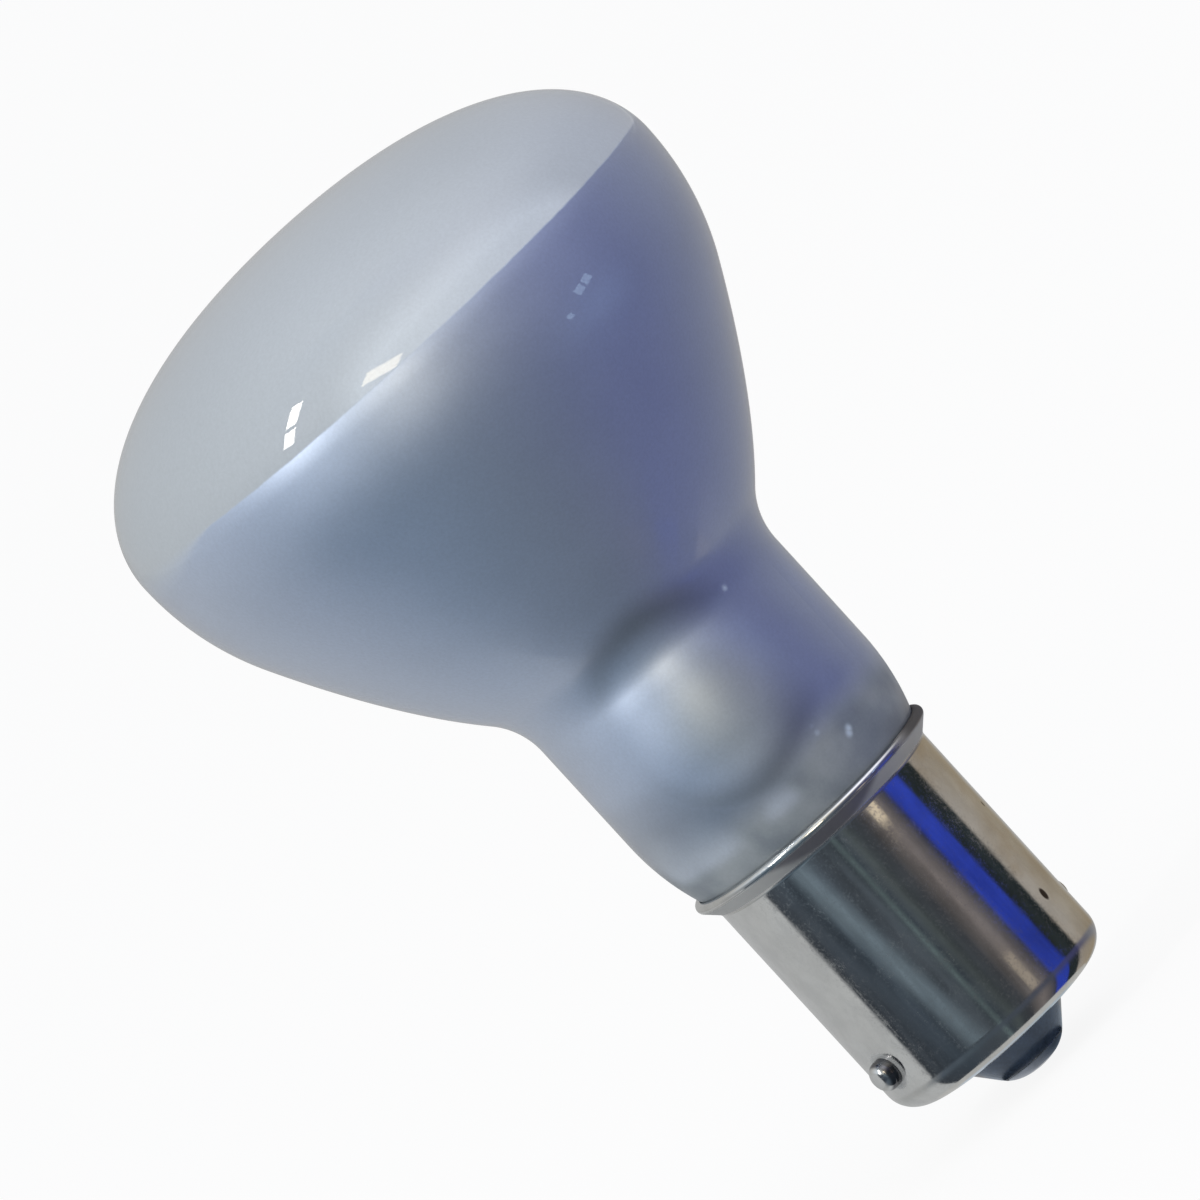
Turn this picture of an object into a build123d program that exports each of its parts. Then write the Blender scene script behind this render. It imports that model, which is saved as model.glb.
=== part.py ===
"""Reflector lamp on a single-contact bayonet cap.

Millimetres. The lamp stands on its centre contact: the axis is Z, the face looks along +Z and the
bayonet pins lie on the X axis. Every height is chained up from the contact.
"""

import os
from math import atan, cos, radians, sin, sqrt, tan

from build123d import *

os.makedirs("parts", exist_ok=True)

# Centre contact: a solder dome on an eyelet that passes through the insulator
contact_diameter = 4.5
contact_height = 0.82
contact_crown = 1.2
contact_taper = 0.35
contact_side = 0.42
eyelet_diameter = 1.7
eyelet_flange = 2.8
eyelet_flange_height = 0.3
solder_depth = 0.4

# Insulator: a cone outside the cap, a neck in its opening and a plug inside it
insulator_tip = 4.52
insulator_cone_height = 2.0
insulator_plug = 11.2
insulator_plug_height = 1.5

# Cap shell: a drawn cup of one sheet, flared and beaded at the mouth
shell_diameter = 15.2
shell_wall = 0.35
shell_corner = 1.75
shell_opening = 7.76
shell_length = 15.49
flare_angle = 45.0
flare_bend = 0.4
rim_overhang = 0.89
rim_bead = 0.34
lip_clearance = 0.04

# Bayonet pins
pin_diameter = 1.9
pin_reach = 1.0
pin_rounding = 0.65
pin_level = 3.28
pin_head = 3.0
pin_head_thickness = 0.4

# Neck of the bulb where it sits in the cap
cement_thickness = 0.3
cement_length = 6.0
cement_below_seat = 0.3
seat_width = 0.76
neck_insertion = 7.2
neck_end_rounding = 1.5
exhaust_tip_diameter = 2.8
exhaust_tip_length = 2.5

# Lead wires in the cap
lead_diameter = 0.5
lead_offset = 2.1
lead_bend_height = 2.8
lead_straight = 0.6
shell_lead_drop = 1.4
shell_lead_bend = 0.8

# Visible glass: tucked neck, waist, parabolic reflector, rolled shoulder and domed face
neck_diameter = 17.66
neck_tuck = 5.6
neck_length = 7.34
waist_width = 1.17
reflector_focus = 4.45
bulb_diameter = 38.1
shoulder_width = 1.94
face_height = 9.5
face_crown = 13.9
face_shoulder = 4.58

# Radii and heights that follow from the sizes above
shell_radius = shell_diameter / 2
bore_radius = shell_radius - shell_wall
pin_radius = pin_diameter / 2
lead_radius = lead_diameter / 2
eyelet_radius = eyelet_diameter / 2

cap_bottom = contact_height + insulator_cone_height
cap_floor = cap_bottom + shell_wall
plug_top = cap_floor + insulator_plug_height
pin_height = cap_bottom + pin_level
flare_start = cap_bottom + shell_length

# Flare of the sheet: an outer bend, a straight run and a bead that ends it
flare = radians(flare_angle)
bend_top = (shell_radius + flare_bend * (1 - cos(flare)), flare_start + flare_bend * sin(flare))
bead_radius = shell_radius + rim_overhang - rim_bead
run_end_radius = bead_radius + rim_bead * cos(flare)
run_rise = (run_end_radius - bend_top[0]) / tan(flare)
run_end = (run_end_radius, bend_top[1] + run_rise)
bead_height = run_end[1] + rim_bead * sin(flare)
inner_bend = flare_bend + shell_wall
inner_bend_top = (
    shell_radius + flare_bend - inner_bend * cos(flare),
    flare_start + inner_bend * sin(flare),
)
inner_run_end = (run_end[0] - shell_wall * cos(flare), run_end[1] + shell_wall * sin(flare))

# The glass rests on the inside of the flare
seat_low_radius = bore_radius - cement_thickness
seat_low = inner_bend_top[1] - (inner_bend_top[0] - seat_low_radius) / tan(flare)
seat_top_radius = seat_low_radius + seat_width
seat_top = seat_low + seat_width / tan(flare)
neck_end = seat_low - neck_insertion
exhaust_tip_end = neck_end - exhaust_tip_length

# Heights up the visible glass; each roll is an arc that turns from vertical to the parabola's slope
neck_radius = neck_diameter / 2
neck_low = seat_top + neck_tuck
neck_high = neck_low + neck_length
waist_radius = neck_radius + waist_width
waist_slope = atan(2 * reflector_focus / waist_radius)
waist_top = neck_high + waist_width / tan(waist_slope / 2)
bulb_radius = bulb_diameter / 2
shoulder_radius = bulb_radius - shoulder_width
shoulder_slope = atan(2 * reflector_focus / shoulder_radius)
vertex = waist_top - waist_radius**2 / (4 * reflector_focus)
shoulder_low = vertex + shoulder_radius**2 / (4 * reflector_focus)
widest = shoulder_low + shoulder_width / tan(shoulder_slope / 2)
apex = widest + face_height

# A parabola between two of its points is the Bezier arc whose handle is where the tangents cross
parabola_handle = (
    (waist_radius + shoulder_radius) / 2,
    vertex + waist_radius * shoulder_radius / (4 * reflector_focus),
)

# Centre contact with its eyelet, turned about the axis; the bore takes the lead wire
with BuildPart() as contact_eyelet:
    with BuildSketch(Plane.XZ):
        with BuildLine():
            dome = Bezier(
                (0, 0),
                (contact_crown, 0),
                (contact_diameter / 2 - contact_taper, contact_height - contact_side),
                (contact_diameter / 2, contact_height),
            )
            Polyline(
                dome @ 1,
                (eyelet_radius, contact_height),
                (eyelet_radius, plug_top),
                (eyelet_flange / 2, plug_top),
                (eyelet_flange / 2, plug_top + eyelet_flange_height),
                (lead_radius, plug_top + eyelet_flange_height),
                (lead_radius, solder_depth),
                (0, solder_depth),
                dome @ 0,
            )
        make_face()
    revolve(axis=Axis.Z)
contact_eyelet.part.label = "contact_eyelet"
export_step(contact_eyelet.part, "parts/contact_eyelet.step")

# Insulator, moulded as one piece through the opening of the cap
with BuildPart() as insulator:
    with BuildSketch(Plane.XZ):
        with BuildLine():
            Polyline(
                (eyelet_radius, contact_height),
                (insulator_tip / 2, contact_height),
                (shell_opening / 2, cap_bottom),
                (shell_opening / 2, cap_floor),
                (insulator_plug / 2, cap_floor),
                (insulator_plug / 2, plug_top),
                (eyelet_radius, plug_top),
                close=True,
            )
        make_face()
    revolve(axis=Axis.Z)
insulator.part.label = "insulator"
export_step(insulator.part, "parts/insulator.step")

# Cap shell: the sheet's section with its bead, trimmed where the lip closes on the glass
with BuildPart() as base_shell:
    with BuildSketch(Plane.XZ):
        with BuildLine():
            floor = Line((shell_opening / 2, cap_bottom), (shell_radius - shell_corner, cap_bottom))
            corner = TangentArc(floor @ 1, (shell_radius, cap_bottom + shell_corner), tangent=(1, 0))
            wall = Line(corner @ 1, (shell_radius, flare_start))
            bend = TangentArc(wall @ 1, bend_top, tangent=(0, 1))
            run = Polyline(bend @ 1, run_end, inner_run_end, inner_bend_top)
            inner = TangentArc((bore_radius, flare_start), run @ 1, tangent=(0, 1))
            bore = Line(inner @ 0, (bore_radius, cap_bottom + shell_corner))
            cove = TangentArc((shell_radius - shell_corner, cap_floor), bore @ 1, tangent=(1, 0))
            Polyline(cove @ 0, (shell_opening / 2, cap_floor), floor @ 0)
        make_face()
        with Locations((bead_radius, bead_height)):
            Circle(rim_bead)
        with BuildLine():
            tuck = TangentArc(
                (neck_radius + lip_clearance, neck_low),
                (seat_top_radius + lip_clearance, seat_top),
                tangent=(0, -1),
            )
            Polyline(
                tuck @ 1,
                (seat_low_radius + lip_clearance, seat_low),
                (0, seat_low),
                (0, neck_low),
                tuck @ 0,
            )
        make_face(mode=Mode.SUBTRACT)
    revolve(axis=Axis.Z)
    with BuildSketch(Plane.YZ):
        with Locations((0, pin_height)):
            Circle(pin_radius)
    extrude(amount=shell_diameter, both=True, mode=Mode.SUBTRACT)
base_shell.part.label = "base_shell"
export_step(base_shell.part, "parts/base_shell.step")

# Bayonet pins: a head seated on the bore, a shank through the wall and a rounded outer end
for number, turn in enumerate((180, 0), start=1):
    with BuildPart() as bayonet_pin:
        with BuildSketch(Plane.YZ.offset(bore_radius - pin_head_thickness)):
            with Locations((0, pin_height)):
                Circle(pin_head / 2)
        extrude(amount=shell_wall + pin_head_thickness)
        with BuildSketch(Plane.XY.offset(pin_height - pin_head)):
            Circle(bore_radius)
        extrude(amount=2 * pin_head, mode=Mode.INTERSECT)
        with BuildSketch(Plane.YZ.offset(bore_radius - pin_head_thickness)):
            with Locations((0, pin_height)):
                Circle(pin_radius)
        extrude(amount=pin_head_thickness + shell_wall + pin_reach)
        fillet(bayonet_pin.edges().sort_by(Axis.X)[-1], pin_rounding)
    pin = Rot(0, 0, turn) * bayonet_pin.part
    pin.label = f"bayonet_pin_{number}"
    export_step(pin, f"parts/bayonet_pin_{number}.step")

# Cement ring between the neck and the bore of the cap
with BuildPart() as basing_cement:
    with BuildSketch(Plane.XY.offset(seat_low - cement_below_seat - cement_length)):
        Circle(bore_radius)
        Circle(seat_low_radius, mode=Mode.SUBTRACT)
    extrude(amount=cement_length)
basing_cement.part.label = "basing_cement"
export_step(basing_cement.part, "parts/basing_cement.step")

# Lead to the centre contact: up the eyelet, then an S-bend out past the exhaust tip
with BuildPart() as contact_lead:
    with BuildLine(Plane.YZ):
        foot = Line((0, solder_depth), (0, plug_top + eyelet_flange_height + lead_straight))
        middle = (foot @ 1) + Vector(0, -lead_offset / 2, lead_bend_height / 2)
        top = (foot @ 1) + Vector(0, -lead_offset, lead_bend_height)
        swing = TangentArc((0, (foot @ 1).Z), (middle.Y, middle.Z), tangent=(0, 1))
        back = TangentArc((top.Y, top.Z), (middle.Y, middle.Z), tangent=(0, -1))
        Line((top.Y, top.Z), (top.Y, neck_end))
    with BuildSketch(Plane.XY.offset(solder_depth)):
        Circle(lead_radius)
    sweep()
contact_lead.part.label = "contact_lead"
export_step(contact_lead.part, "parts/contact_lead.step")

# Lead to the shell: down from the glass, one bend, then out to the wall of the cap
with BuildPart() as shell_lead:
    with BuildLine(Plane.YZ):
        drop = Line((lead_offset, neck_end), (lead_offset, neck_end - shell_lead_drop))
        bend_end = (lead_offset + shell_lead_bend, neck_end - shell_lead_drop - shell_lead_bend)
        turn_out = TangentArc((lead_offset, neck_end - shell_lead_drop), bend_end, tangent=(0, -1))
        Line(bend_end, (sqrt(bore_radius**2 - lead_radius**2), bend_end[1]))
    with BuildSketch(Plane.XY.offset(neck_end)):
        with Locations((0, lead_offset)):
            Circle(lead_radius)
    sweep()
shell_lead.part.label = "shell_lead"
export_step(shell_lead.part, "parts/shell_lead.step")

# Blown bulb, turned from one section: exhaust tip, seated neck, waist, reflector, shoulder, face
with BuildPart() as glass_bulb:
    with BuildSketch(Plane.XZ):
        with BuildLine():
            tip_radius = exhaust_tip_diameter / 2
            tip_side = (tip_radius, exhaust_tip_end + tip_radius)
            tip = TangentArc((0, exhaust_tip_end), tip_side, tangent=(1, 0))
            shelf_end = (seat_low_radius - neck_end_rounding, neck_end)
            shelf = Polyline(tip @ 1, (tip_radius, neck_end), shelf_end)
            edge = TangentArc(shelf @ 1, (seat_low_radius, neck_end + neck_end_rounding), tangent=(1, 0))
            seat = Polyline(edge @ 1, (seat_low_radius, seat_low), (seat_top_radius, seat_top))
            tuck = TangentArc((neck_radius, neck_low), seat @ 1, tangent=(0, -1))
            neck = Line(tuck @ 0, (neck_radius, neck_high))
            waist = TangentArc(neck @ 1, (waist_radius, waist_top), tangent=(0, 1))
            reflector = Bezier(waist @ 1, parabola_handle, (shoulder_radius, shoulder_low))
            shoulder = TangentArc((bulb_radius, widest), reflector @ 1, tangent=(0, -1))
            face_handle = (bulb_radius, widest + face_shoulder)
            face = Bezier(shoulder @ 0, face_handle, (face_crown, apex), (0, apex))
            Line(face @ 1, tip @ 0)
        make_face()
    revolve(axis=Axis.Z)
glass_bulb.part.label = "glass_bulb"
export_step(glass_bulb.part, "parts/glass_bulb.step")
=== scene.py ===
"""Dresses the small reflector lamp: frosted face, silvered bowl and a nickelled bayonet cap."""

import math

import bpy
import numpy as np
from mathutils import Matrix, Quaternion, Vector


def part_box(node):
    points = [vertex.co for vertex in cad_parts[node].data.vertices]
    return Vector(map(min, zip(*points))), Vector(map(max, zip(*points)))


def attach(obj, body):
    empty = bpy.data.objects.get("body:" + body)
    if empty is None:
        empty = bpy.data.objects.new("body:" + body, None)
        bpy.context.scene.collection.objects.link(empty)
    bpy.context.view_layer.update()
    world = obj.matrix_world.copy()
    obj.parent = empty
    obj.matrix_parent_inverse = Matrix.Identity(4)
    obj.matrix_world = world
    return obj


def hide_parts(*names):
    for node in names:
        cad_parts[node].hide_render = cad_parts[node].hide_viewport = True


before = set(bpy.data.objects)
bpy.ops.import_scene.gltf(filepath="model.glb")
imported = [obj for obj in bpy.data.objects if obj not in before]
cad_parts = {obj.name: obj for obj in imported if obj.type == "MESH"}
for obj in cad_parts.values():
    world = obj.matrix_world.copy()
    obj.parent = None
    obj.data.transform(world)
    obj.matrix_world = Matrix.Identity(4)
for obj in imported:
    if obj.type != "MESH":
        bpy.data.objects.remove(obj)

bl_info = {
    "name": "Reflector lamp",
    "version": (1, 0, 0),
    "blender": (4, 5, 0),
    "location": "View3D > Sidebar > Lamp",
    "description": "Glass, cap and studio of a small reflector lamp",
    "category": "Add Mesh",
}

MM = 0.001
UP = Vector((0, 0, 1))
ROUND_COLUMNS = 224
FLOOR_REACH = 4.0
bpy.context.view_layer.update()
GLASS_LOW, GLASS_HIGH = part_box("glass_bulb")
SHELL_LOW, SHELL_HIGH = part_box("base_shell")
PIN_LOW, PIN_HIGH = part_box("bayonet_pin_2")
CONTACT_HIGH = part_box("contact_eyelet")[1]
INSULATOR_LOW, INSULATOR_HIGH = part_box("insulator")


def length(label, text, default):
    """A size in metres, shown in the scene's own unit."""
    return bpy.props.FloatProperty(
        name=label, description=text, default=default, min=0.0, precision=5, unit="LENGTH"
    )


def number(label, text, default):
    """A plain number without a unit."""
    return bpy.props.FloatProperty(name=label, description=text, default=default, precision=4)


def turn(label, text, degrees):
    """An angle, given here in degrees."""
    return bpy.props.FloatProperty(
        name=label, description=text, default=math.radians(degrees), subtype="ANGLE"
    )


def colour(label, text, default):
    """A linear colour."""
    return bpy.props.FloatVectorProperty(
        name=label, description=text, default=default, size=3, min=0.0, soft_max=1.0, subtype="COLOR"
    )


class LampShape(bpy.types.PropertyGroup):
    """Sizes of the glass and of the cap."""

    bulb_diameter: length("Bulb diameter", "Width of the glass at its widest", GLASS_HIGH.x - GLASS_LOW.x)
    apex_height: length("Apex height", "Height of the middle of the face", GLASS_HIGH.z)
    face_height: length("Face height", "Rise of the face above the widest ring", 9.5 * MM)
    face_crown: length("Face crown", "Reach of the curve's handle at the apex", 13.9 * MM)
    face_shoulder: length("Face shoulder", "Reach of the curve's handle at the ring", 4.58 * MM)
    shoulder_width: length("Shoulder width", "Radius gained by the roll under the ring", 1.94 * MM)
    reflector_focus: length("Reflector focus", "Focal length of the parabolic bowl", 4.45 * MM)
    waist_width: length("Waist width", "Radius gained by the roll above the neck", 1.17 * MM)
    neck_diameter: length("Neck diameter", "Width of the straight neck", 17.66 * MM)
    neck_length: length("Neck length", "Height of the straight neck", 7.34 * MM)
    neck_tuck: length("Neck tuck", "Height of the roll down to the cap", 5.6 * MM)
    seat_diameter: length("Seat diameter", "Width of the glass where the lip closes on it", 15.42 * MM)
    stem_diameter: length("Stem diameter", "Width of the glass inside the cap", 13.9 * MM)
    neck_insertion: length("Neck insertion", "Length of the glass below its seat", 7.2 * MM)
    neck_end_rounding: length("Neck end rounding", "Rounding of the glass's lower end", 1.5 * MM)
    exhaust_tip: length("Exhaust tip", "Radius of the sealed tip inside the cap", 1.4 * MM)
    glass_wobble: length("Glass wobble", "Unevenness of the blown glass", 0.035 * MM)
    shell_diameter: length("Shell diameter", "Width of the straight cap", 15.2 * MM)
    shell_wall: length("Shell wall", "Thickness of the sheet", 0.35 * MM)
    shell_corner: length("Shell corner", "Outer radius round the bottom of the cap", 1.75 * MM)
    shell_opening: length("Shell opening", "Width of the hole in the bottom of the cap", 7.76 * MM)
    flare_bend: length("Flare bend", "Outer radius of the bend below the rim", 0.4 * MM)
    rim_bead: length("Rim bead", "Radius of the rolled rim", 0.34 * MM)
    lip_clearance: length("Lip clearance", "Room between the lip and the glass", 0.04 * MM)
    pin_diameter: length("Pin diameter", "Width of a bayonet pin", 1.9 * MM)
    pin_head: length("Pin head", "Width of a pin's head inside the cap", 3.0 * MM)
    pin_crown: length("Pin crown", "Rounding of a pin's outer end", 0.65 * MM)
    contact_diameter: length("Contact diameter", "Width of the solder dome", 4.5 * MM)
    contact_rise: length("Contact rise", "Height of the solder dome", 0.82 * MM)
    contact_crown: length("Contact crown", "Reach of the dome's handle at its foot", 1.2 * MM)
    contact_taper: length("Contact taper", "Inset of the dome's handle at its brim", 0.35 * MM)
    contact_side: length("Contact side", "Drop of the dome's handle at its brim", 0.42 * MM)
    eyelet_diameter: length("Eyelet diameter", "Width of the contact's stem", 1.7 * MM)
    eyelet_flange: length("Eyelet flange", "Width of the stem's upper end", 2.8 * MM)
    solder_depth: length("Solder depth", "Depth of solder under the lead's end", 0.4 * MM)
    lead_diameter: length("Lead diameter", "Width of a lead wire", 0.5 * MM)
    insulator_tip: length("Insulator tip", "Width of the insulator at the contact", 4.52 * MM)


class LampFinish(bpy.types.PropertyGroup):
    """Colours and gloss of the surfaces."""

    silver: colour("Silvering", "Mirror film on the bowl and neck", (0.64, 0.73, 0.90))
    frost: colour("Frost", "Frosted face", (0.50, 0.55, 0.60))
    nickel: colour("Nickel", "Plating of the cap", (0.70, 0.705, 0.695))
    tarnish: colour("Tarnish", "Yellowed plating", (0.42, 0.32, 0.17))
    insulator: colour("Insulator", "Dark glass of the insulator", (0.030, 0.045, 0.072))
    solder: colour("Solder", "Dome of the contact", (0.24, 0.26, 0.29))
    cement: colour("Cement", "Basing cement", (0.46, 0.38, 0.27))
    wire: colour("Lead wire", "Lead wires", (0.45, 0.43, 0.40))
    film_edge: length("Film edge", "Height where the mirror film ends", 54.91 * MM)
    film_edge_tilt: number("Film edge tilt", "Rise of that edge along X, per metre", -0.002)
    neck_bulge: length("Neck bulge", "Fall of the inner wall over the upper neck", 1.25 * MM)
    shoulder_bulge: length("Shoulder bulge", "Fall of the inner wall towards the film's edge", 0.95 * MM)
    silver_roughness: number("Silvering roughness", "Satin of the mirror film", 0.45)
    nickel_roughness: number("Nickel roughness", "Polish of the plating", 0.07)


class LampStage(bpy.types.PropertyGroup):
    """Camera and light."""

    azimuth: turn("Azimuth", "Turn of the camera round the lamp", -29.5)
    elevation: turn("Elevation", "Height of the camera over the horizon", 5.87)
    roll: turn("Roll", "Lean of the lamp in the picture", 42.46)
    distance: length("Distance", "From the target to the camera", 752.8 * MM)
    focal_length: number("Focal length", "Lens of the camera in millimetres", 404.5)
    aim_height: length("Aim height", "Height of the target on the axis", 36.14 * MM)
    aim_left: length("Aim left", "Target's place left of the axis", 0.73 * MM)
    floor: colour("Floor", "Colour of the floor", (0.88, 0.88, 0.88))
    key_power: number("Key power", "Watts of the key's two panes", 2.0)


# Bearings in degrees from the camera's side to the right, and the colour that the cap mirrors there
CAP_VIEW = (
    (-180, (0.55, 0.555, 0.56)),
    (-86, (0.63, 0.645, 0.655)),
    (-83, (0.06, 0.07, 0.085)),
    (-48, (0.065, 0.085, 0.11)),
    (-19, (0.08, 0.095, 0.115)),
    (-6, (0.085, 0.105, 0.125)),
    (-3, (0.17, 0.23, 0.24)),
    (1, (0.06, 0.075, 0.095)),
    (10, (0.10, 0.12, 0.125)),
    (16, (0.06, 0.07, 0.08)),
    (25, (0.06, 0.065, 0.075)),
    (31, (0.14, 0.13, 0.13)),
    (41, (0.24, 0.21, 0.205)),
    (50, (0.16, 0.145, 0.15)),
    (59, (0.06, 0.065, 0.10)),
    (63, (0.04, 0.075, 0.56)),
    (80, (0.04, 0.075, 0.56)),
    (82.5, (0.03, 0.04, 0.045)),
    (102, (0.03, 0.04, 0.045)),
    (105, (0.50, 0.46, 0.42)),
    (135, (0.46, 0.41, 0.34)),
    (160, (0.41, 0.35, 0.26)),
    (180, (0.55, 0.555, 0.56)),
)

# The same for the room and the far floor, which the bowl and the neck mirror softly
ROOM_VIEW = (
    (-180, (0.46, 0.46, 0.46)),
    (-120, (0.50, 0.50, 0.49)),
    (-90, (0.38, 0.40, 0.42)),
    (-60, (0.145, 0.205, 0.265)),
    (-30, (0.125, 0.18, 0.23)),
    (0, (0.14, 0.168, 0.198)),
    (30, (0.095, 0.11, 0.18)),
    (60, (0.085, 0.092, 0.235)),
    (85, (0.085, 0.092, 0.23)),
    (110, (0.18, 0.185, 0.25)),
    (150, (0.38, 0.37, 0.36)),
    (180, (0.46, 0.46, 0.46)),
)

# The same for the floor close to the lamp, which the bowl looks down on
NEAR_FLOOR = (
    (-180, (0.51, 0.52, 0.52)),
    (-84, (0.51, 0.52, 0.52)),
    (-58, (0.12, 0.15, 0.19)),
    (-30, (0.095, 0.125, 0.155)),
    (0, (0.085, 0.105, 0.135)),
    (45, (0.085, 0.095, 0.14)),
    (60, (0.085, 0.09, 0.23)),
    (80, (0.085, 0.09, 0.23)),
    (115, (0.27, 0.30, 0.38)),
    (150, (0.44, 0.44, 0.45)),
    (180, (0.51, 0.52, 0.52)),
)

# Level directions on the lamp: the side where shade and light are painted, the side where the film fades
# out, and the front of the neck's bright oval where the highlight falls, with the direction square to it
PAINTED_SIDE = (0.87, -0.49, 0.0)
FADED_SIDE = (-0.87, 0.49, 0.0)
OVAL_FRONT = (-0.647, -0.763, 0.0)
OVAL_SIDE = (0.763, -0.647, 0.0)

# Marks in millimetres: X, Y, Z and reach
PALE_CLOUDS = ((-8.25, 0.1, 22.8, 3.0), (-7.6, -2.9, 22.3, 2.7), (-4.75, -6.6, 21.7, 1.7))
# These pale marks are painted glints, reflections of a window painted on the film
PAINTED_GLINTS = (
    (0.51, -8.87, 32.72, 0.30),
    (0.29, -8.57, 22.08, 0.40),
    (0.45, -8.61, 22.28, 0.40),
    (-1.24, -8.51, 23.4, 0.32),
    (-1.24, -8.53, 23.9, 0.28),
)
DARK_SPECKS = ((3.67, -6.66, 7.61, 0.32), (5.48, -5.27, 13.38, 0.15))

# Profiles: arrays of (radius, height) from the bottom up


def run(start, end, count):
    """Straight run from start to end; the points crowd towards both ends as a cosine does."""
    t = (1 - np.cos(np.linspace(0, np.pi, count))) / 2
    return np.outer(1 - t, start) + np.outer(t, end)


def arc(centre, radius, first, last, count):
    """Circular arc round centre, from the angle first to the angle last in degrees."""
    a = np.radians(np.linspace(first, last, count))
    return np.array(centre) + radius * np.stack([np.cos(a), np.sin(a)], axis=1)


def roll_from(start, out, rise, count):
    """Arc that leaves start along the axis and ends out and rise away.

    Its turn is twice the angle whose tangent is out over rise, and its radius is
    rise over the sine of that turn.
    """
    swing = 2 * math.atan2(abs(out), abs(rise))
    radius = abs(rise) / math.sin(swing)
    a = np.linspace(0, swing, count)
    across, up = radius * (1 - np.cos(a)) * np.sign(out), radius * np.sin(a) * np.sign(rise)
    return np.array(start) + np.stack([across, up], axis=1)


def bezier(handles, count):
    """Bezier curve of three or four handles, as the Bernstein sum of its handles."""
    handles = np.array(handles)
    t = np.linspace(0, 1, count)[:, None]
    order = len(handles) - 1
    k = np.arange(order + 1)
    weights = np.array([math.comb(order, i) for i in k]) * t**k * (1 - t) ** (order - k)
    return weights @ handles


def eased(corners, cut, steps=5):
    """Polyline whose corners are replaced by quadratic curves that begin and end cut away from them."""
    corners = np.array(corners)
    before = np.roll(corners, 1, axis=0) - corners
    after = np.roll(corners, -1, axis=0) - corners
    first = corners + before * (cut / np.linalg.norm(before, axis=1))[:, None]
    last = corners + after * (cut / np.linalg.norm(after, axis=1))[:, None]
    t = np.linspace(0, 1, steps)[None, :, None]
    curve = (1 - t) ** 2 * first[:, None] + 2 * t * (1 - t) * corners[:, None] + t**2 * last[:, None]
    return curve.reshape(-1, 2)


def joined(*parts):
    """Profiles one after another, without the points that two neighbours share."""
    path = np.concatenate(parts)
    keep = np.ones(len(path), bool)
    keep[1:] = np.linalg.norm(np.diff(path, axis=0), axis=1) > 1e-7
    return path[keep]


def glass_profile(shape):
    """Section of the bulb: exhaust tip, stem, seat, neck, waist, parabolic bowl, shoulder and face.

    The bowl is the parabola radius squared = 4 x focus x height over its vertex, and each roll is
    an arc between its slope and the vertical.
    """
    ring = shape.bulb_diameter / 2
    widest = shape.apex_height - shape.face_height
    shoulder = ring - shape.shoulder_width
    focus = shape.reflector_focus
    shoulder_drop = shape.shoulder_width / math.tan(math.atan(2 * focus / shoulder) / 2)
    vertex = widest - shoulder_drop - shoulder**2 / (4 * focus)
    neck = shape.neck_diameter / 2
    waist = neck + shape.waist_width
    waist_rise = shape.waist_width / math.tan(math.atan(2 * focus / waist) / 2)
    neck_top = vertex + waist**2 / (4 * focus) - waist_rise
    neck_foot = neck_top - shape.neck_length
    seat = shape.seat_diameter / 2
    stem = shape.stem_diameter / 2
    seat_foot = neck_foot - shape.neck_tuck - (seat - stem)
    stem_end = seat_foot - shape.neck_insertion
    rounding, tip = shape.neck_end_rounding, shape.exhaust_tip
    radii = np.linspace(waist, shoulder, 60)
    bowl = np.stack([radii, vertex + radii**2 / (4 * focus)], axis=1)
    return joined(
        arc((0, GLASS_LOW.z + tip), tip, -90, 0, 8),
        run((tip, GLASS_LOW.z + tip), (tip, stem_end), 4),
        arc((stem - rounding, stem_end + rounding), rounding, -90, 0, 8),
        run((stem, stem_end + rounding), (stem, seat_foot), 5),
        run((stem, seat_foot), (seat, neck_foot - shape.neck_tuck), 4),
        roll_from((neck, neck_foot), seat - neck, -shape.neck_tuck, 26)[::-1],
        run((neck, neck_foot), (neck, neck_top), 16),
        roll_from((neck, neck_top), shape.waist_width, waist_rise, 26),
        bowl,
        roll_from((ring, widest), -shape.shoulder_width, -shoulder_drop, 30)[::-1],
        bezier(
            [
                (ring, widest),
                (ring, widest + shape.face_shoulder),
                (shape.face_crown, shape.apex_height),
                (0, shape.apex_height),
            ],
            72,
        ),
    )


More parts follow.
